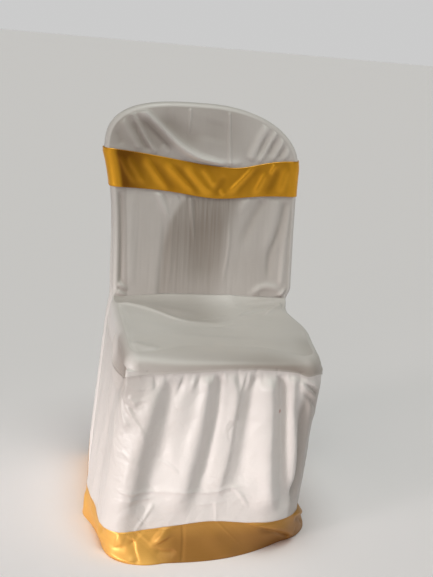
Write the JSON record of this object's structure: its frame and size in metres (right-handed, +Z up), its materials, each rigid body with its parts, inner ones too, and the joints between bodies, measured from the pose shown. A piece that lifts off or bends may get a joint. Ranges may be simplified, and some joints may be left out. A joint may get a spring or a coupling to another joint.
{
  "type": "chair cover",
  "caption": "Fitted white satin cover for an armless banquet chair, with a gathered skirt, a gold border round its hem and a gold sash round its back.",
  "frame": {"origin": "on the floor, under the middle of the cover's bounding box", "axes": "+X to the right as seen from the front, +Y towards the rear, +Z up"},
  "size_m": [0.5026, 0.5836, 0.9007],
  "materials": {
    "white_satin": "satin weave, soft sheen",
    "gold_satin": "satin weave, glossy sheen"
  },
  "bodies": {
    "root": {"back_front_panel": "white_satin", "back_rear_panel": "white_satin", "seat_panel": "white_satin", "skirt": "white_satin", "hem_border": "gold_satin", "sash": "gold_satin"}
  },
  "joints": []
}
